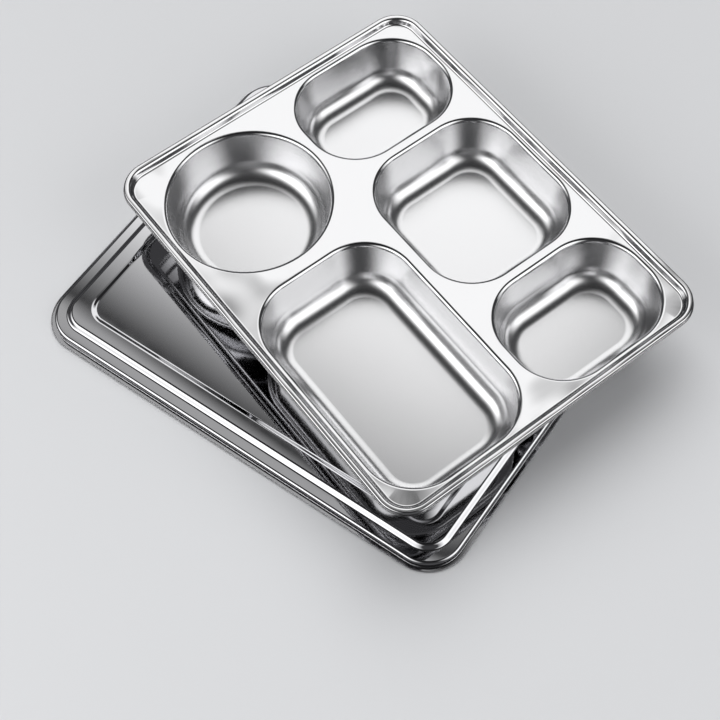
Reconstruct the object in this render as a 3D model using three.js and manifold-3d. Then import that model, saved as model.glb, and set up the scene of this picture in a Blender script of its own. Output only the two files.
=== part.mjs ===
// Compartment tray lying across its own lid, each piece one pressing of stainless sheet.
// Millimetres, +Z up. The origin is on the standing surface, under the middle of the pair.
// The tray's long side runs along X. The lid lies top up beneath it, turned and shifted.
import * as THREE from 'three';
import Module from 'manifold-3d';

const wasm = await Module();
wasm.setup();

// Sheet metal
const SHEET = 0.6;

// Tray, overall
const TRAY_LENGTH = 283;
const TRAY_WIDTH = 222;
const TRAY_CORNER = 19.5;

// Tray rim, from the outer edge inwards and from the rim's top down
const RIM_EDGE_OUT = 0.5;
const RIM_BEAD = 3.8;
const RIM_WALL_RUN = 2.4;
const RIM_DROP = 4.2;
const RIM_FLANGE_DROP = 3.4;
const RIM_BEND = 2.2;
const RIM_OUTER_BEND = 0.7;
const RIM_EDGE_BEND = 0.5;
const DECK_BEND = 1.2;

// Wells: the mouth is measured where the flat deck starts to bend down, the depth from the deck
// to the floor, and the seam leaves room for the bend between the rim's wall and a mouth
const WELL_DEPTH = 33;
const DECK_SEAM = 0.75;
const ROW_WEB = 5;
const BACK_WEB = 3.6;
const FRONT_WEB = 7.6;
const END_WELL_WIDTH = 76.3;
const ROUND_WELL_DIAMETER = 103.2;
const ROUND_WELL_END_MARGIN = 1.05;
const WELL_CORNER = 33.5;
const WELL_DRAFT = THREE.MathUtils.degToRad(9.6);
const WELL_LIP_BEND = 2.8;
const WELL_FLOOR_BEND = 13.3;

// Lid, from the foot's outer edge inwards and from the standing surface up
const LID_CLEARANCE = 2.3;
const LID_FLANGE = 2.9;
const LID_EDGE_RISE = 1.2;
const LID_SKIRT_HEIGHT = 5.8;
const LID_OUTER_RING = 7.9;
const LID_STEP_RUN = 2.4;
const LID_STEP_RISE = 2.5;
const LID_INNER_RING = 9;
const LID_PANEL_RUN = 2.3;
const LID_PANEL_RECESS = 0.9;
const LID_STEP_CORNER = 15.3;
const LID_PANEL_CORNER = 12.5;
const LID_SKIRT_BEND = 1.7;
const LID_STEP_BEND = 1;
const LID_PANEL_BEND = 3.2;
const LID_EDGE_BEND = 0.5;

// How the pair lies: the lid's turn, its shift from under the tray's middle, and the gap between them
const LID_TURN = THREE.MathUtils.degToRad(17.7);
const LID_SHIFT_X = -7;
const LID_SHIFT_Y = -38.2;
const REST_GAP = 0.3;

// Fineness of the round stretches, the least radius and straight left in an outline,
// the share of a straight that a bend may take, and how far a well's cut starts above the deck
const CORNER_STEPS = 8;
const BEND_STEPS = 2;
const FLOOR_BEND_STEPS = 4;
const LEAST_STRETCH = 0.5;
const BEND_SHARE = 0.49;
const CUT_RISE = 0.2;

// Points round a rounded rectangle at one height, anticlockwise seen from above.
function outlineRing(halfX, halfY, corner, z) {
  const widest = Math.min(halfX, halfY) - LEAST_STRETCH;
  const radius = THREE.MathUtils.clamp(corner, LEAST_STRETCH, widest);
  const ring = [];
  for (let quarter = 0; quarter < 4; quarter += 1) {
    const signX = quarter === 0 || quarter === 3 ? 1 : -1;
    const signY = quarter < 2 ? 1 : -1;
    for (let step = 0; step <= CORNER_STEPS; step += 1) {
      const angle = (quarter + step / CORNER_STEPS) * Math.PI / 2;
      const x = signX * (halfX - radius) + radius * Math.cos(angle);
      const y = signY * (halfY - radius) + radius * Math.sin(angle);
      ring.push(new THREE.Vector3(x, y, z));
    }
  }
  return ring;
}

// A closed skin through rings of equal count, capped flat at its first and last ring.
function loft(rings) {
  const count = rings[0].length;
  const last = (rings.length - 1) * count;
  const faces = [];
  for (let ring = 0; ring < rings.length - 1; ring += 1) {
    for (let index = 0; index < count; index += 1) {
      const next = (index + 1) % count;
      const near = ring * count;
      const far = near + count;
      faces.push(near + index, far + index, far + next);
      faces.push(near + index, far + next, near + next);
    }
  }
  for (let index = 1; index < count - 1; index += 1) {
    faces.push(0, index, index + 1);
    faces.push(last, last + index + 1, last + index);
  }
  const geometry = new THREE.BufferGeometry().setFromPoints(rings.flat());
  geometry.setIndex(faces);
  return geometry;
}

// A section line through corner points, each [inset, height, bend], with every bend made an arc.
function bendLine(corners, steps) {
  const places = corners.map(([inset, height]) => new THREE.Vector2(inset, height));
  const line = [places[0]];
  for (let index = 1; index < places.length - 1; index += 1) {
    const corner = places[index];
    const back = places[index - 1].clone().sub(corner);
    const ahead = places[index + 1].clone().sub(corner);
    const room = BEND_SHARE * Math.min(back.length(), ahead.length());
    back.normalize();
    ahead.normalize();
    const half = Math.acos(back.dot(ahead)) / 2;
    const reach = Math.min(corners[index][2] / Math.tan(half), room);
    const radius = reach * Math.tan(half);
    const middle = back.clone().add(ahead).normalize();
    const centre = corner.clone().addScaledVector(middle, radius / Math.sin(half));
    const from = corner.clone().addScaledVector(back, reach).sub(centre);
    const sweep = Math.sign(from.cross(middle) * -1) * (Math.PI - 2 * half);
    for (let step = 0; step <= steps; step += 1) {
      const point = from.clone().rotateAround(new THREE.Vector2(), sweep * step / steps);
      line.push(point.add(centre));
    }
  }
  line.push(places[places.length - 1]);
  return line;
}

// The line shifted sideways by a distance, to its right as it runs.
function shiftLine(line, distance) {
  return line.map((point, index) => {
    const back = line[Math.max(index - 1, 0)];
    const ahead = line[Math.min(index + 1, line.length - 1)];
    const into = point.clone().sub(back);
    const out = ahead.clone().sub(point);
    if (index === 0) into.copy(out);
    if (index === line.length - 1) out.copy(into);
    into.normalize();
    out.normalize();
    const middle = into.clone().add(out).normalize();
    const right = new THREE.Vector2(middle.y, -middle.x);
    return point.clone().addScaledVector(right, distance / middle.dot(into));
  });
}

// A pressed sheet from the middle of its section out to its edge, with equal thickness all over.
// The section's insets run inwards from the outline, so its upper face lies to the line's right.
function pressing(halfX, halfY, cornerAt, section) {
  const upper = shiftLine(section, SHEET / 2);
  const lower = shiftLine(section, -SHEET / 2).reverse();
  const rings = [...upper, ...lower].map((point) => {
    const inset = point.x;
    return outlineRing(halfX - inset, halfY - inset, cornerAt(inset), point.y);
  });
  return loft(rings);
}

// Closed meshes to solids for joining and cutting, and back.
function toSolid(geometry) {
  const vertProperties = new Float32Array(geometry.getAttribute('position').array);
  const triVerts = new Uint32Array(geometry.getIndex().array);
  return new wasm.Manifold(new wasm.Mesh({ numProp: 3, vertProperties, triVerts }));
}

function toGeometry(solid) {
  const mesh = solid.getMesh();
  const geometry = new THREE.BufferGeometry();
  geometry.setAttribute('position', new THREE.BufferAttribute(mesh.vertProperties, 3));
  geometry.setIndex(new THREE.BufferAttribute(mesh.triVerts, 1));
  return geometry;
}

// Tray levels, measured from the rim's top
const deckTop = -RIM_DROP;
const floorTop = deckTop - WELL_DEPTH;
const trayHeight = SHEET - floorTop;
const wallFoot = RIM_EDGE_OUT + RIM_BEAD + RIM_WALL_RUN;
const wellReachX = TRAY_LENGTH / 2 - wallFoot - DECK_SEAM;
const wellReachY = TRAY_WIDTH / 2 - wallFoot - DECK_SEAM;

// The rim and the deck as one flat-bottomed pan, before the wells are pressed into it.
function trayPan() {
  const flange = RIM_EDGE_OUT + SHEET / 2;
  const section = bendLine([
    [wallFoot + RIM_WALL_RUN, deckTop - SHEET / 2, 0],
    [wallFoot, deckTop - SHEET / 2, DECK_BEND],
    [RIM_EDGE_OUT + RIM_BEAD, -SHEET / 2, RIM_BEND],
    [flange, -SHEET / 2, RIM_OUTER_BEND],
    [flange, SHEET / 2 - RIM_FLANGE_DROP, RIM_EDGE_BEND],
    [0, SHEET / 2 - RIM_FLANGE_DROP, 0],
  ], BEND_STEPS);
  return pressing(TRAY_LENGTH / 2, TRAY_WIDTH / 2, (inset) => TRAY_CORNER - inset, section);
}

// The mouths: centre, half sizes and corner radius. Three lie in the back row and two in the front,
// and the middle one of the back row and the large one of the front row take the length that is left.
function wellMouths() {
  const rowDepth = wellReachY - ROW_WEB / 2;
  const rowMiddle = ROW_WEB / 2 + rowDepth / 2;
  const endMiddle = wellReachX - END_WELL_WIDTH / 2;
  const middleWidth = 2 * (wellReachX - END_WELL_WIDTH - BACK_WEB);
  const roundRadius = ROUND_WELL_DIAMETER / 2;
  const roundMiddle = ROUND_WELL_END_MARGIN + roundRadius - wellReachX;
  const largeStart = roundMiddle + roundRadius + FRONT_WEB;
  const largeWidth = wellReachX - largeStart;
  const inRow = { halfY: rowDepth / 2, corner: WELL_CORNER };
  const inBackRow = { ...inRow, y: rowMiddle };
  const round = { halfX: roundRadius, halfY: roundRadius, corner: roundRadius };
  return [
    { ...inBackRow, x: -endMiddle, halfX: END_WELL_WIDTH / 2 },
    { ...inBackRow, x: 0, halfX: middleWidth / 2 },
    { ...inBackRow, x: endMiddle, halfX: END_WELL_WIDTH / 2 },
    { ...round, x: roundMiddle, y: roundRadius - wellReachY },
    { ...inRow, x: largeStart + largeWidth / 2, y: -rowMiddle, halfX: largeWidth / 2 },
  ];
}

// One well's solid from its top level down to its floor, with the section's insets from the mouth.
function wellBody(mouth, line) {
  const rings = line.map((point) => {
    const inset = point.x;
    return outlineRing(mouth.halfX - inset, mouth.halfY - inset, mouth.corner - inset, point.y);
  });
  return toSolid(loft(rings).translate(mouth.x, mouth.y, 0));
}

// The well's upper face from the deck to the floor: lip bend, drafted wall and floor bend.
// The lip's bend starts at the mouth, which is inset 0.
function wellSection() {
  const halfTurn = Math.tan(Math.PI / 4 - WELL_DRAFT / 2);
  const lip = WELL_LIP_BEND * halfTurn;
  const foot = lip + WELL_DEPTH * Math.tan(WELL_DRAFT);
  const floor = foot + 2 * WELL_FLOOR_BEND * halfTurn;
  const lipTurn = [[-lip, deckTop, 0], [lip, deckTop, WELL_LIP_BEND], [foot, floorTop, 0]];
  const floorTurn = [[lip, deckTop, 0], [foot, floorTop, WELL_FLOOR_BEND], [floor, floorTop, 0]];
  const lipLine = bendLine(lipTurn, BEND_STEPS);
  const floorLine = bendLine(floorTurn, FLOOR_BEND_STEPS);
  return [...lipLine.slice(0, -1), ...floorLine.slice(1)];
}

// The pan with each well's outside joined to it, and each well's inside then cut out of it.
function trayGeometry() {
  const face = wellSection();
  const upper = face.slice(1, -1);
  const lower = shiftLine(face, SHEET).slice(1, -1);
  const cavity = [new THREE.Vector2(upper[0].x, deckTop + CUT_RISE), ...upper];
  const body = [new THREE.Vector2(lower[0].x, deckTop - SHEET / 2), ...lower];
  const mouths = wellMouths();
  let tray = toSolid(trayPan());
  mouths.forEach((mouth) => {
    tray = tray.add(wellBody(mouth, body));
  });
  mouths.forEach((mouth) => {
    tray = tray.subtract(wellBody(mouth, cavity));
  });
  return toGeometry(tray);
}

// The lid: panel, inner ring, step, outer ring, skirt and a flange to stand on with a turned-up edge.
const stepFoot = LID_FLANGE + LID_OUTER_RING;
const stepTop = stepFoot + LID_STEP_RUN;
const panelEdge = stepTop + LID_INNER_RING;
const panelFoot = panelEdge + LID_PANEL_RUN;
const lidReach = LID_CLEARANCE + SHEET + LID_FLANGE;
const lidHeight = LID_SKIRT_HEIGHT + LID_STEP_RISE;

function lidCorner(inset) {
  const foot = TRAY_CORNER + lidReach;
  if (inset < stepFoot) return THREE.MathUtils.mapLinear(inset, 0, stepFoot, foot, LID_STEP_CORNER);
  return THREE.MathUtils.mapLinear(inset, stepFoot, panelEdge, LID_STEP_CORNER, LID_PANEL_CORNER);
}

function lidGeometry() {
  const half = SHEET / 2;
  const skirt = LID_FLANGE + half;
  const panelLevel = lidHeight - LID_PANEL_RECESS - half;
  const section = bendLine([
    [panelFoot + LID_INNER_RING, panelLevel, 0],
    [panelFoot, panelLevel, LID_PANEL_BEND],
    [panelEdge, lidHeight - half, LID_PANEL_BEND],
    [stepTop, lidHeight - half, LID_STEP_BEND],
    [stepFoot, LID_SKIRT_HEIGHT - half, LID_STEP_BEND],
    [skirt, LID_SKIRT_HEIGHT - half, LID_SKIRT_BEND],
    [skirt, half, LID_EDGE_BEND],
    [half, half, LID_EDGE_BEND],
    [half, LID_EDGE_RISE, 0],
  ], BEND_STEPS);
  return pressing(TRAY_LENGTH / 2 + lidReach, TRAY_WIDTH / 2 + lidReach, lidCorner, section);
}

// Materials
const satinSteel = new THREE.MeshStandardMaterial({ color: 0xcfd0d2, roughness: 0.34, metalness: 1 });
const polishedSteel = new THREE.MeshStandardMaterial({ color: 0xc4c5c8, roughness: 0.12, metalness: 1 });

// Assembly: the lid stands on the surface and the tray lies on the lid's raised ring.
const tray = new THREE.Mesh(trayGeometry(), satinSteel);
tray.name = 'tray';
tray.position.z = lidHeight + REST_GAP + trayHeight;

const lid = new THREE.Mesh(lidGeometry(), polishedSteel);
lid.name = 'lid';
lid.position.set(LID_SHIFT_X, LID_SHIFT_Y, 0);
lid.rotation.z = LID_TURN;

const trayOnLid = new THREE.Group();
trayOnLid.add(lid, tray);
const middleOfPair = new THREE.Box3().setFromObject(trayOnLid, true).getCenter(new THREE.Vector3());
trayOnLid.position.set(-middleOfPair.x, -middleOfPair.y, 0);

export default trayOnLid;
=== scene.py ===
"""Compartment tray of stainless sheet, lying across its own polished lid, on a pale studio floor."""
import math

import bmesh
import bpy
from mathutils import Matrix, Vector


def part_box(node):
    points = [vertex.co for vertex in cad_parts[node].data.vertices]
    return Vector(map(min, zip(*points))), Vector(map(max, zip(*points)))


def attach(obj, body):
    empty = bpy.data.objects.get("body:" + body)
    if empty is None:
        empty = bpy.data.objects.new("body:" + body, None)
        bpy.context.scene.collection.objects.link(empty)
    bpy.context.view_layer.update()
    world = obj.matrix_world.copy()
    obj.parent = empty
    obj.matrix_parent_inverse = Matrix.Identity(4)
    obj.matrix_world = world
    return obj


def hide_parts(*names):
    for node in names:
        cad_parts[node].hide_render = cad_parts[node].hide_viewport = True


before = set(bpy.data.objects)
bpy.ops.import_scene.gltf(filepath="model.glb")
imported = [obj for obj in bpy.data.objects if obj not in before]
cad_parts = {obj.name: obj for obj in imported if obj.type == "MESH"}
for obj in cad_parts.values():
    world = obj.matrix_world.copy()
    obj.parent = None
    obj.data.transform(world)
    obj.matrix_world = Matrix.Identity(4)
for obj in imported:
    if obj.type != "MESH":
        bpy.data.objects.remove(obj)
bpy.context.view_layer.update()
tray_low, tray_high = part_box("tray")
lid_low, lid_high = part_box("lid")

bl_info = {
    "name": "Compartment tray",
    "version": (1, 0, 0),
    "blender": (4, 5, 0),
    "location": "View3D > Sidebar > Tray",
    "description": "Adds a pressed steel compartment tray, its lid and a plain studio",
    "category": "Add Mesh",
}

# The scene is in metres, and the sizes of the pieces are written in millimetres
MM = 0.001
# Heights that differ by less than this are the same level
NEAR = 0.01 * MM
# The most that a bend takes up of the straight beside it: just under half, as each end may have a bend
BEND_SHARE = 0.49
# Nearly all values of a noise texture lie between these two
NOISE_LOW = 0.25
NOISE_HIGH = 0.75
# Power per square metre of a soft box whose brightness is 1
SOFTBOX_WATTS = 4


def linear(hex_colour):
    """An sRGB hex colour as linear red, green and blue."""
    channels = [int(hex_colour[start:start + 2], 16) / 255 for start in (1, 3, 5)]
    return tuple(c / 12.92 if c <= 0.04045 else ((c + 0.055) / 1.055) ** 2.4 for c in channels)


def length(name, description, millimetres):
    """A length that a user may change, written in millimetres and kept in metres."""
    return bpy.props.FloatProperty(
        name=name, description=description, default=millimetres * MM, min=0, precision=5, unit="LENGTH")


def angle(name, description, degrees):
    """An angle that a user may change, written in degrees and kept in radians."""
    return bpy.props.FloatProperty(
        name=name, description=description, default=math.radians(degrees), subtype="ANGLE")


def count(name, description, default):
    """A number of steps that a user may change."""
    return bpy.props.IntProperty(name=name, description=description, default=default, min=2)


def share(name, description, default):
    """A value from 0 to 1 that a user may change."""
    return bpy.props.FloatProperty(
        name=name, description=description, default=default, min=0, max=1, subtype="FACTOR")


def colour(name, description, hex_colour):
    """A colour that a user may change."""
    return bpy.props.FloatVectorProperty(
        name=name, description=description, default=linear(hex_colour), subtype="COLOR", min=0, max=1)


class SheetSizes(bpy.types.PropertyGroup):
    """The steel sheet, and how finely its bends are drawn."""
    thickness: length("Sheet thickness", "Thickness of the steel sheet of tray and lid", 0.6)
    edge_round: length("Edge rounding", "Rounding of the sheet's cut edges", 0.14)
    edge_angle: angle("Edge angle", "Edges that turn by more than this are cut edges", 60)
    smooth_angle: angle("Smooth angle", "Edges that turn by less than this are shaded smooth", 40)
    edge_steps: count("Edge steps", "Rings in the rounding of a cut edge", 3)
    corner_steps: count("Corner steps", "Straight pieces in each outline corner", 20)
    bend_steps: count("Bend steps", "Rings in each tight bend", 7)
    floor_steps: count("Floor bend steps", "Rings in the wide bend at a well's floor", 18)


class TraySizes(bpy.types.PropertyGroup):
    """The tray's rim, deck and wells."""
    corner: length("Corner", "Radius of the tray's outer corners", 19.5)
    edge_out: length("Edge", "How far the rim's lower edge is turned out", 0.5)
    bead: length("Bead", "Width of the rim's flat top", 3.3)
    wall_run: length("Rim wall run", "Sideways run of the wall from the rim to the deck", 1.9)
    drop: length("Deck drop", "Depth of the deck below the rim's top", 4.2)
    flange_drop: length("Flange", "Height of the rim's outer flange", 3.4)
    rim_bend: length("Rim bend", "Bend radius from the rim's top into its wall", 2.2)
    outer_bend: length("Outer bend", "Bend radius from the rim's top into its flange", 0.7)
    edge_bend: length("Edge bend", "Bend radius at the turned-out edge", 0.5)
    deck_bend: length("Deck bend", "Bend radius where the rim's wall meets the deck", 1.9)
    seam: length("Deck seam", "Room left for the bend between the rim's wall and a well", 1.25)
    row_web: length("Row web", "Deck between the two rows of wells", 5)
    back_web: length("Back web", "Deck between the wells of the back row", 3.6)
    front_web: length("Front web", "Deck between the round and the large well", 7.1)
    end_well: length("End well", "Width of the back row's two end wells", 76.8)
    round_well: length("Round well", "Diameter of the round well", 103.7)
    round_margin: length("Round margin", "Deck between the round well and the seam at its end", 1.55)
    well_corner: length("Well corner", "Corner radius of the wells' mouths", 33.5)
    lip_bend: length("Lip bend", "Bend radius of a well's lip, on the upper face", 2.8)
    floor_bend: length("Floor bend", "Bend radius at a well's floor, on the upper face", 13.3)
    draft: angle("Draft", "Slope of the wells' walls from upright", 9.6)


class LidSizes(bpy.types.PropertyGroup):
    """The lid's foot, steps and panel."""
    corner: length("Foot corner", "Radius of the foot's corners", 25)
    flange: length("Flange", "Width of the flange that the lid stands on", 2.9)
    edge_rise: length("Edge rise", "Height of the flange's turned-up edge", 1.2)
    skirt: length("Skirt", "Height of the skirt", 5.8)
    outer_ring: length("Outer ring", "Width of the lower flat ring", 7.9)
    step_run: length("Step run", "Sideways run of the step between the rings", 2.4)
    step_rise: length("Step rise", "Height of the step between the rings", 2.5)
    inner_ring: length("Inner ring", "Width of the upper flat ring", 9)
    panel_run: length("Panel run", "Sideways run of the wall round the panel", 2.3)
    panel_recess: length("Panel recess", "Depth of the panel below the upper ring", 0.9)
    step_corner: length("Step corner", "Corner radius at the foot of the step", 15.3)
    panel_corner: length("Panel corner", "Corner radius at the panel's edge", 12.5)
    skirt_bend: length("Skirt bend", "Bend radius at the top of the skirt", 1.7)
    step_bend: length("Step bend", "Bend radius at the step between the rings", 2.4)
    panel_bend: length("Panel bend", "Bend radius of the wall round the panel", 3.2)
    edge_bend: length("Edge bend", "Bend radius at the flange", 0.5)
    turn: angle("Turn", "How far the lid is turned under the tray", 17.7)


class SteelLooks(bpy.types.PropertyGroup):
    """The finishes of the steel."""
    polished: colour("Polished steel", "Reflected colour of the polished lid", "#C9C9CB")
    bright: colour("Bright steel", "Reflected colour of the tray's rim, deck and outside", "#D6D6D7")
    satin: colour("Satin steel", "Reflected colour of the wells' insides", "#DDDDDE")
    polished_gloss: share("Lid roughness", "Roughness of the polished lid", 0.045)
    bright_gloss: share("Deck roughness", "Roughness of the rim and deck", 0.06)
    satin_gloss: share("Well roughness", "Roughness of the wells' insides", 0.25)
    outside_gloss: share("Outside roughness", "Roughness of the wells' outsides", 0.11)


class StageLooks(bpy.types.PropertyGroup):
    """The floor and the studio round it."""
    floor: colour("Floor", "Colour of the studio floor", "#D5D6D8")
    horizon: colour("Horizon", "Colour of the studio's far walls", "#58585A")
    ceiling: colour("Ceiling", "Colour of the studio overhead", "#272728")


def add_node(tree, kind, settings=None, values=None, links=None):
    """Adds a node with its options, its socket values and the sockets that feed it."""
    node = tree.nodes.new(kind)
    for name, value in (settings or {}).items():
        setattr(node, name, value)
    for socket, value in (values or {}).items():
        node.inputs[socket].default_value = value
    for socket, source in (links or {}).items():
        tree.links.new(source, node.inputs[socket])
    return node


def new_material(name):
    """A node material with nothing in it yet but its output."""
    material = bpy.data.materials.new(name)
    material.use_nodes = True
    tree = material.node_tree
    tree.nodes.clear()
    output = add_node(tree, "ShaderNodeOutputMaterial")
    return material, tree, output


def steel(name, tint, roughness, spread, grain, wave):
    """Stainless sheet whose roughness varies by spread either way.

    The grain is the size of its marks across and up, and the wave the width and depth of its swell, in mm.
    """
    material, tree, output = new_material(name)
    place = add_node(tree, "ShaderNodeTexCoord").outputs["Object"]
    across, up = (size * MM for size in grain)
    stretch = add_node(tree, "ShaderNodeMapping", values={"Scale": (1 / across, 1 / across, 1 / up)},
                       links={"Vector": place})
    marks = add_node(tree, "ShaderNodeTexNoise", values={"Scale": 1, "Detail": 2, "Roughness": 0.5},
                     links={"Vector": stretch.outputs["Vector"]})
    gloss = add_node(tree, "ShaderNodeMapRange", links={"Value": marks.outputs["Fac"]},
                     values={"From Min": NOISE_LOW, "From Max": NOISE_HIGH, "To Min": roughness - spread,
                             "To Max": roughness + spread})
    width, depth = (size * MM for size in wave)
    swell = add_node(tree, "ShaderNodeTexNoise", values={"Scale": 1 / width, "Detail": 0},
                     links={"Vector": place})
    uneven = add_node(tree, "ShaderNodeBump", values={"Strength": 1, "Distance": depth},
                      links={"Height": swell.outputs["Fac"]})
    shader = add_node(tree, "ShaderNodeBsdfPrincipled", values={"Base Color": (*tint, 1), "Metallic": 1},
                      links={"Roughness": gloss.outputs["Result"], "Normal": uneven.outputs["Normal"]})
    tree.links.new(shader.outputs["BSDF"], output.inputs["Surface"])
    return material


def bright_sheet(looks):
    """Bright annealed stainless sheet, buffed, for the rim and the deck."""
    # Broad soft reflections, which the sheet's slight unevenness smears
    return steel("bright_stainless_sheet", looks.bright, looks.bright_gloss,
                 spread=0.015, grain=(6, 6), wave=(22, 0.6))


def satin_drawn_sheet(looks):
    """Deep-drawn stainless sheet with a satin finish, for the insides of the wells."""
    # An even silvery sheen, and a grain drawn out upwards on the walls, coarser than life so as to show
    return steel("satin_drawn_stainless", looks.satin, looks.satin_gloss,
                 spread=0.01, grain=(1.4, 14), wave=(26, 0.02))


def smooth_drawn_sheet(looks):
    """Deep-drawn stainless sheet left as drawn, for the outsides of the wells."""
    # Glossier than the insides, with soft even reflections
    return steel("smooth_drawn_stainless", looks.bright, looks.outside_gloss,
                 spread=0.015, grain=(6, 6), wave=(26, 0.02))


def polished_sheet(looks):
    """Mirror-polished stainless sheet, for the lid."""
    # Sharp dark and light reflections, with the faint swell of a thin panel
    return steel("mirror_polished_stainless", looks.polished, looks.polished_gloss,
                 spread=0.01, grain=(9, 9), wave=(60, 0.03))


def matt_board(looks):
    """Matt painted board, for the floor."""
    # Pale and without reflections, with a faint unevenness in how matt it is
    cloud = 120 * MM
    material, tree, output = new_material("matt_painted_board")
    place = add_node(tree, "ShaderNodeTexCoord").outputs["Object"]
    tone = add_node(tree, "ShaderNodeTexNoise", values={"Scale": 1 / cloud, "Detail": 2},
                    links={"Vector": place})
    matt = add_node(tree, "ShaderNodeMapRange", links={"Value": tone.outputs["Fac"]},
                    values={"To Min": 0.75, "To Max": 0.85})
    shader = add_node(tree, "ShaderNodeBsdfPrincipled", values={"Base Color": (*looks.floor, 1)},
                      links={"Roughness": matt.outputs["Result"]})
    tree.links.new(shader.outputs["BSDF"], output.inputs["Surface"])
    return material


def bend_line(corners, steps):
    """A section line through corner points, each (inset, height, bend), with bends drawn as arcs."""
    line = [Vector(corners[0][:2])]
    for before, corner, after in zip(corners, corners[1:], corners[2:]):
        middle = Vector(corner[:2])
        back = Vector(before[:2]) - middle
        ahead = Vector(after[:2]) - middle
        room = BEND_SHARE * min(back.length, ahead.length)
        back.normalize()
        ahead.normalize()
        half_angle = back.angle(ahead) / 2
        reach = min(corner[2] / math.tan(half_angle), room)
        radius = reach * math.tan(half_angle)
        centre = middle + (back + ahead).normalized() * (radius / math.sin(half_angle))
        start = middle + back * reach - centre
        end = middle + ahead * reach - centre
        sweep = math.pi - 2 * half_angle
        for step in range(steps + 1):
            along = step / steps
            point = (start * math.sin((1 - along) * sweep) + end * math.sin(along * sweep)) / math.sin(sweep)
            line.append(centre + point)
    line.append(Vector(corners[-1][:2]))
    return line


def add_blank(centre, half, corner, level, steps):
    """A flat blank with rounded corners, left in edit mode with its one face selected."""
    bpy.ops.object.select_all(action="DESELECT")
    # A plane of size 2 reaches 1 to each side, so its half sizes are its scale
    bpy.ops.mesh.primitive_plane_add(size=2, location=(centre[0], centre[1], level))
    blank = bpy.context.object
    blank.scale = (half[0], half[1], 1)
    bpy.ops.object.transform_apply(location=True, rotation=True, scale=True)
    bpy.ops.object.mode_set(mode="EDIT")
    bpy.ops.mesh.select_all(action="SELECT")
    bpy.ops.mesh.bevel(offset_type="OFFSET", offset=corner, segments=steps, profile=0.5, affect="VERTICES")
    bpy.ops.mesh.select_mode(type="FACE")
    bpy.ops.mesh.select_all(action="SELECT")
    return blank


def add_round_blank(centre, radius, level, steps):
    """A flat round blank, left in edit mode with its one face selected."""
    bpy.ops.object.select_all(action="DESELECT")
    bpy.ops.mesh.primitive_circle_add(
        vertices=4 * steps, radius=radius, fill_type="NGON", location=(centre[0], centre[1], level))
    bpy.ops.object.transform_apply(location=True, rotation=True, scale=True)
    bpy.ops.object.mode_set(mode="EDIT")
    bpy.ops.mesh.select_mode(type="FACE")
    bpy.ops.mesh.select_all(action="SELECT")
    return bpy.context.object


def press(line, keep_face):
    """Presses the blank's face inwards and up or down along a section line."""
    for here, there in zip(line, line[1:]):
        step = there - here
        bpy.ops.mesh.inset(thickness=step.x, depth=step.y, use_boundary=True, use_even_offset=True)
    if not keep_face:
        bpy.ops.mesh.delete(type="ONLY_FACE")
    bpy.ops.object.mode_set(mode="OBJECT")


def join_pieces(pieces, name):
    """Joins the pieces into the first one."""
    bpy.ops.object.select_all(action="DESELECT")
    for piece in pieces:
        piece.select_set(True)
    bpy.context.view_layer.objects.active = pieces[0]
    bpy.ops.object.join()
    pieces[0].name = name
    pieces[0].data.name = name
    return pieces[0]


def select_open_edges(sheet, level):
    """Selects the open edges at one level, in edit mode."""
    bpy.ops.object.mode_set(mode="EDIT")
    bpy.ops.mesh.select_mode(type="EDGE")
    bpy.ops.mesh.select_all(action="DESELECT")
    mesh = bmesh.from_edit_mesh(sheet.data)
    for edge in mesh.edges:
        at_level = all(abs(vert.co.z - level) < NEAR for vert in edge.verts)
        edge.select_set(edge.is_boundary and at_level)
    bmesh.update_edit_mesh(sheet.data)


def apply_modifier(sheet, name, kind, settings):
    """Adds a modifier with its settings and applies it."""
    modifier = sheet.modifiers.new(name, kind)
    for key, value in settings.items():
        setattr(modifier, key, value)
    bpy.ops.object.modifier_apply(modifier=modifier.name)


def finish_sheet(sheet, stock):
    """Gives the pressed skin its thickness, rounds its cut edges and smooths its shading."""
    bpy.ops.object.mode_set(mode="EDIT")
    bpy.ops.mesh.select_all(action="SELECT")
    bpy.ops.mesh.normals_make_consistent(inside=False)
    bpy.ops.object.mode_set(mode="OBJECT")
    apply_modifier(sheet, "thickness", "SOLIDIFY",
                   {"thickness": stock.thickness, "offset": 0, "use_even_offset": True})
    apply_modifier(sheet, "edges", "BEVEL",
                   {"width": stock.edge_round, "segments": stock.edge_steps, "limit_method": "ANGLE",
                    "angle_limit": stock.edge_angle})
    bpy.ops.object.shade_smooth_by_angle(angle=stock.smooth_angle)
    apply_modifier(sheet, "shading", "WEIGHTED_NORMAL", {"keep_sharp": True})


def settle(sheet, body, node, materials):
    """Dresses the piece and lets it stand for its CAD node."""
    for material in materials:
        sheet.data.materials.append(material)
    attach(sheet, body)
    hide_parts(node)


def rim_width(size):
    """Width of the rim from its outer edge to the foot of its wall."""
    return size.edge_out + size.bead + size.wall_run


def press_rim(size, stock, middle, half, deck):
    """Presses the rim, from its turned-out edge over the flat top and down to the deck."""
    half_sheet = stock.thickness / 2
    top = tray_high.z - half_sheet
    edge_level = tray_high.z - size.flange_drop + half_sheet
    flange = size.edge_out + half_sheet
    bead_end = size.edge_out + size.bead
    wall_foot = rim_width(size)
    # The last point only gives the wall's foot its bend, and is left off
    line = bend_line([
        (0, edge_level, 0),
        (flange, edge_level, size.edge_bend),
        (flange, top, size.outer_bend),
        (bead_end, top, size.rim_bend),
        (wall_foot, deck, size.deck_bend),
        (wall_foot + 2 * size.deck_bend, deck, 0),
    ], stock.bend_steps)[:-1]
    rim = add_blank(middle, half, size.corner, edge_level, stock.corner_steps)
    press(line, keep_face=False)
    return rim


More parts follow.
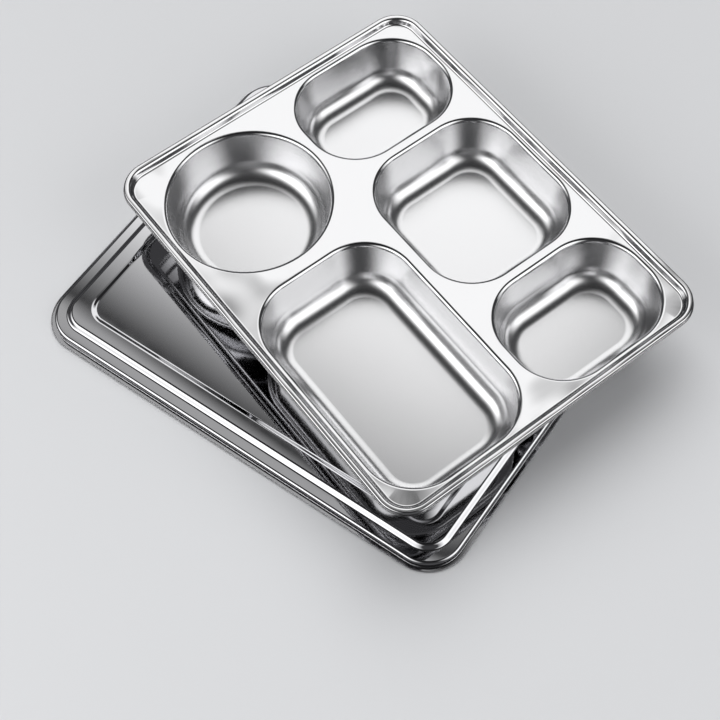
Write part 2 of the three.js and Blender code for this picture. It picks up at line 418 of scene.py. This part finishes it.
def well_section(size, stock, deck):
    """A well's section: its lip, its drafted wall and the wide bend at its floor."""
    half_sheet = stock.thickness / 2
    floor = tray_low.z + half_sheet
    lip_bend = size.lip_bend - half_sheet
    floor_bend = size.floor_bend + half_sheet
    # Tangent of half the angle that the sheet turns through at the lip and at the floor
    half_turn = math.tan(math.pi / 4 - size.draft / 2)
    lip = lip_bend * half_turn
    foot = lip + (deck - floor) * math.tan(size.draft)
    # The first and last points only give the bends their direction, and are left off
    lip_line = bend_line([
        (-lip, deck, 0),
        (lip, deck, lip_bend),
        (foot, floor, 0),
    ], stock.bend_steps)[1:-1]
    floor_line = bend_line([
        (lip, deck, 0),
        (foot, floor, floor_bend),
        (foot + 2 * floor_bend * half_turn, floor, 0),
    ], stock.floor_steps)[1:-1]
    return lip_line + floor_line


def press_wells(size, stock, middle, half, deck):
    """Presses the five wells: three in the back row, and the large and the round one in the front row."""
    line = well_section(size, stock, deck)
    # How far the mouths reach from the tray's middle, and how the two rows share that
    reach_x = half.x - rim_width(size) - size.seam
    reach_y = half.y - rim_width(size) - size.seam
    row_half = (reach_y - size.row_web / 2) / 2
    row_middle = size.row_web / 2 + row_half
    end_half = size.end_well / 2
    end_middle = reach_x - end_half
    middle_half = reach_x - size.end_well - size.back_web
    radius = size.round_well / 2
    round_middle = size.round_margin + radius - reach_x
    large_start = round_middle + radius + size.front_web
    large_half = (reach_x - large_start) / 2

    # Middle and half width of each mouth with corners
    mouths = (
        (-end_middle, row_middle, end_half),
        (0, row_middle, middle_half),
        (end_middle, row_middle, end_half),
        (large_start + large_half, -row_middle, large_half),
    )
    wells = []
    for x, y, half_x in mouths:
        centre = (middle.x + x, middle.y + y)
        wells.append(add_blank(centre, (half_x, row_half), size.well_corner, deck, stock.corner_steps))
        press(line, keep_face=True)
    centre = (middle.x + round_middle, middle.y + radius - reach_y)
    wells.append(add_round_blank(centre, radius, deck, stock.corner_steps))
    press(line, keep_face=True)
    return wells


class TRAY_OT_add_tray(bpy.types.Operator):
    """Adds the tray: rim, deck and five wells pressed from one sheet"""
    bl_idname = "tray.add_tray"
    bl_label = "Add tray"

    def execute(self, context):
        stock = context.scene.tray_sheet
        size = context.scene.tray_sizes
        looks = context.scene.tray_steel
        middle = (tray_low + tray_high) / 2
        half = (tray_high - tray_low) / 2
        deck = tray_high.z - size.drop - stock.thickness / 2
        rim = press_rim(size, stock, middle, half, deck)
        wells = press_wells(size, stock, middle, half, deck)

        # Deck, filled between the rim's wall and the mouths
        tray = join_pieces([rim, *wells], "tray_sheet")
        select_open_edges(tray, deck)
        if "FINISHED" not in bpy.ops.mesh.fill(use_beauty=True):
            raise RuntimeError("The deck can't be filled between the rim and the wells")
        finish_sheet(tray, stock)

        # The first finish is on the rim and the deck, the second inside the wells and the third outside them
        finishes = [bright_sheet(looks), satin_drawn_sheet(looks), smooth_drawn_sheet(looks)]
        inside, outside = 1, 2
        settle(tray, "tray_body", "tray", finishes)
        for face in tray.data.polygons:
            if face.center.z < deck - size.lip_bend:
                face.material_index = inside if face.normal.z > 0 else outside
        return {"FINISHED"}


def foot_half_sizes(size, half_sheet):
    """The lid's half sizes at its foot, from the box round the turned CAD lid less its rounded corners."""
    cos, sin = math.cos(size.turn), math.sin(size.turn)
    slack = size.corner + half_sheet
    wide = (lid_high.x - lid_low.x) / 2 - slack
    deep = (lid_high.y - lid_low.y) / 2 - slack
    half_x = (wide * cos - deep * sin) / (cos * cos - sin * sin) + slack
    half_y = (deep * cos - wide * sin) / (cos * cos - sin * sin) + slack
    return half_x, half_y


class TRAY_OT_add_lid(bpy.types.Operator):
    """Adds the lid: standing flange, skirt, two rings and a recessed panel pressed from one sheet"""
    bl_idname = "tray.add_lid"
    bl_label = "Add lid"

    def execute(self, context):
        stock = context.scene.tray_sheet
        size = context.scene.lid_sizes
        looks = context.scene.tray_steel
        half_sheet = stock.thickness / 2

        # Heights of the lower ring, the upper ring and the panel, and insets from the foot's edge
        ring = size.skirt - half_sheet
        crown = size.skirt + size.step_rise - half_sheet
        panel = crown - size.panel_recess
        skirt = size.flange + half_sheet
        step_foot = size.flange + size.outer_ring
        step_top = step_foot + size.step_run
        panel_edge = step_top + size.inner_ring
        panel_foot = panel_edge + size.panel_run

        # Sections, less the end points that only give the bends their direction
        foot_line = bend_line([
            (half_sheet, size.edge_rise, 0),
            (half_sheet, half_sheet, size.edge_bend),
            (skirt, half_sheet, size.edge_bend),
            (skirt, ring, size.skirt_bend),
            (step_foot, ring, 0),
        ], stock.bend_steps)[:-1]
        step_line = bend_line([
            (skirt, ring, 0),
            (step_foot, ring, size.step_bend),
            (step_top, crown, size.step_bend),
            (panel_edge, crown, 0),
        ], stock.bend_steps)[1:-1]
        panel_line = bend_line([
            (step_top, crown, 0),
            (panel_edge, crown, size.panel_bend),
            (panel_foot, panel, size.panel_bend),
            (panel_foot + size.inner_ring, panel, 0),
        ], stock.bend_steps)[1:-1]

        # One pressing for each section, with its corner radius and the inset at which that is measured.
        # Only the panel keeps its middle
        half_x, half_y = foot_half_sizes(size, half_sheet)
        sections = (
            (foot_line, size.corner, half_sheet),
            (step_line, size.step_corner, step_foot),
            (panel_line, size.panel_corner, panel_edge),
        )
        pieces = []
        for line, corner, corner_inset in sections:
            start = line[0].x
            half = (half_x - start, half_y - start)
            start_corner = corner + corner_inset - start
            pieces.append(add_blank((0, 0), half, start_corner, line[0].y, stock.corner_steps))
            press(line, keep_face=line is panel_line)

        # The two flat rings, bridged between the pressings
        lid = join_pieces(pieces, "lid_sheet")
        for level in (ring, crown):
            select_open_edges(lid, level)
            bpy.ops.mesh.bridge_edge_loops()
            bpy.ops.object.mode_set(mode="OBJECT")

        # Turned and laid under the tray
        centre = (lid_low + lid_high) / 2
        lid.rotation_euler = (0, 0, size.turn)
        lid.location = (centre.x, centre.y, 0)
        bpy.ops.object.transform_apply(location=True, rotation=True, scale=True)
        finish_sheet(lid, stock)
        settle(lid, "lid_body", "lid", [polished_sheet(looks)])
        return {"FINISHED"}


def add_floor(looks):
    """Adds the studio floor, just clear of the lid's foot."""
    width = 30
    gap = 0.2 * MM
    bpy.ops.mesh.primitive_plane_add(size=width, location=(0, 0, -gap))
    floor = bpy.context.object
    floor.name = "studio_floor"
    floor.data.materials.append(matt_board(looks))
    # Kept out of the steel's reflections, so that its bends stay dark and crisp
    floor.visible_glossy = False


def soften(lamp, fade):
    """Lets a soft box fade towards its edges, over those shares of its half width and half depth."""
    lamp.data.use_nodes = True
    tree = lamp.data.node_tree
    tree.nodes.clear()
    output = add_node(tree, "ShaderNodeOutputLight")
    # Places on a lamp run from 0 to 1, so its middle and its half size are the same
    half = 0.5
    inner = (half - half * fade[0], half - half * fade[1], 0)
    spot = add_node(tree, "ShaderNodeNewGeometry").outputs["Parametric"]
    centred = add_node(tree, "ShaderNodeVectorMath", settings={"operation": "SUBTRACT"},
                       values={1: (half, half, 0)}, links={0: spot})
    outwards = add_node(tree, "ShaderNodeVectorMath", settings={"operation": "ABSOLUTE"},
                        links={0: centred.outputs["Vector"]})
    ramp = add_node(tree, "ShaderNodeMapRange", settings={"data_type": "FLOAT_VECTOR"},
                    values={"From Min": (half, half, half), "From Max": inner},
                    links={"Vector": outwards.outputs["Vector"]})
    sides = add_node(tree, "ShaderNodeSeparateXYZ", links={"Vector": ramp.outputs["Vector"]})
    cover = add_node(tree, "ShaderNodeMath", settings={"operation": "MULTIPLY"},
                     links={0: sides.outputs["X"], 1: sides.outputs["Y"]})
    shine = add_node(tree, "ShaderNodeEmission", links={"Strength": cover.outputs["Value"]})
    tree.links.new(shine.outputs["Emission"], output.inputs["Surface"])


def add_softbox(name, place, tilt, heading, wide, deep, brightness, fade):
    """Adds a soft box, with its place and sizes in metres and its tilt and heading in degrees."""
    facing = (math.radians(tilt), 0, math.radians(heading))
    bpy.ops.object.light_add(type="AREA", location=place, rotation=facing)
    lamp = bpy.context.object
    lamp.name = name
    lamp.data.shape = "RECTANGLE"
    lamp.data.size = wide
    lamp.data.size_y = deep
    lamp.data.energy = SOFTBOX_WATTS * wide * deep * brightness
    soften(lamp, fade)


def add_floor_fill(direction, strength, spread):
    """Adds a broad light for the floor, kept out of the steel's reflections."""
    facing = Vector(direction).to_track_quat("-Z", "Y").to_euler()
    bpy.ops.object.light_add(type="SUN", rotation=facing)
    fill = bpy.context.object
    fill.name = "floor_fill"
    fill.data.energy = strength
    fill.data.angle = math.radians(spread)
    fill.visible_glossy = False


def add_walls(scene, looks):
    """Closes the studio with dim walls, a little lighter at the horizon."""
    scene.world = scene.world or bpy.data.worlds.new("studio")
    scene.world.use_nodes = True
    tree = scene.world.node_tree
    tree.nodes.clear()
    output = add_node(tree, "ShaderNodeOutputWorld")
    direction = add_node(tree, "ShaderNodeTexCoord").outputs["Generated"]
    height = add_node(tree, "ShaderNodeSeparateXYZ", links={"Vector": direction})
    rise = add_node(tree, "ShaderNodeMapRange", links={"Value": height.outputs["Z"]})
    walls = add_node(tree, "ShaderNodeMix", settings={"data_type": "RGBA"},
                     values={"A": (*looks.horizon, 1), "B": (*looks.ceiling, 1)},
                     links={"Factor": rise.outputs["Result"]})
    glow = add_node(tree, "ShaderNodeBackground", links={"Color": walls.outputs["Result"]})
    tree.links.new(glow.outputs["Background"], output.inputs["Surface"])


def add_camera(scene):
    """Adds the camera at the photograph's place, turn and lens, in millimetres and degrees."""
    place = (385.0, -256.0, 786.7)
    turns = (28.385, 1.444, 52.739)
    sensor_width = 36
    lens = 75.26
    bpy.ops.object.camera_add(
        location=[along * MM for along in place], rotation=[math.radians(turn) for turn in turns])
    camera = bpy.context.object
    camera.name = "photo_camera"
    camera.data.sensor_width = sensor_width
    camera.data.lens = lens
    scene.camera = camera


class TRAY_OT_add_stage(bpy.types.Operator):
    """Adds the floor, the soft boxes, the dim studio round them and the camera"""
    bl_idname = "tray.add_stage"
    bl_label = "Add stage"

    def execute(self, context):
        scene = context.scene
        looks = scene.tray_stage
        bpy.ops.object.select_all(action="DESELECT")
        add_floor(looks)

        # Two boxes hang level overhead, where the flat deck and lid mirror them
        overhead = 1.05
        overhead_turn = 14
        add_softbox("back_softbox", place=(-0.669, 0.688, overhead), tilt=0, heading=overhead_turn,
                    wide=1.015, deep=1.2, brightness=1.06, fade=(0.3, 0.3))
        add_softbox("top_strip", place=(-0.5, 0.065, overhead), tilt=0, heading=overhead_turn,
                    wide=1.3, deep=0.1, brightness=0.42, fade=(0.3, 0.6))
        # Two lean towards the tray from the front and the side, where its bends and walls mirror them
        add_softbox("front_softbox", place=(-0.238, -1.033, 0.662), tilt=58, heading=-13,
                    wide=2.8, deep=1.2, brightness=1.9, fade=(0.75, 0.6))
        add_softbox("side_softbox", place=(0.99, 0.49, 0.627), tilt=62, heading=116,
                    wide=1.6, deep=1.33, brightness=1.3, fade=(0.6, 0.35))
        # The fill comes from the back box's side
        add_floor_fill(direction=(0.5, -0.4, -0.8), strength=1.8, spread=60)
        add_walls(scene, looks)
        # Colours are shown as they are, with no film look
        scene.view_settings.view_transform = "Standard"
        add_camera(scene)
        return {"FINISHED"}


class TRAY_PT_panel(bpy.types.Panel):
    """Lists the pieces that can be added"""
    bl_idname = "TRAY_PT_panel"
    bl_label = "Compartment tray"
    bl_space_type = "VIEW_3D"
    bl_region_type = "UI"
    bl_category = "Tray"

    def draw(self, context):
        for piece in (TRAY_OT_add_tray, TRAY_OT_add_lid, TRAY_OT_add_stage):
            self.layout.operator(piece.bl_idname)
        for name, group in SETTINGS.items():
            settings = getattr(context.scene, name)
            box = self.layout.box()
            for entry in group.__annotations__:
                box.prop(settings, entry)


SETTINGS = {
    "tray_sheet": SheetSizes,
    "tray_sizes": TraySizes,
    "lid_sizes": LidSizes,
    "tray_steel": SteelLooks,
    "tray_stage": StageLooks,
}
CLASSES = (*SETTINGS.values(), TRAY_OT_add_tray, TRAY_OT_add_lid, TRAY_OT_add_stage, TRAY_PT_panel)


def register():
    """Registers the classes and hangs the settings on the scene."""
    for entry in CLASSES:
        bpy.utils.register_class(entry)
    for name, group in SETTINGS.items():
        setattr(bpy.types.Scene, name, bpy.props.PointerProperty(type=group))


def unregister():
    """Takes the settings and the classes away again."""
    for name in SETTINGS:
        delattr(bpy.types.Scene, name)
    for entry in reversed(CLASSES):
        bpy.utils.unregister_class(entry)


def main():
    """Builds the tray, the lid and the stage."""
    register()
    bpy.ops.tray.add_tray()
    bpy.ops.tray.add_lid()
    bpy.ops.tray.add_stage()


if __name__ == "__main__":
    main()
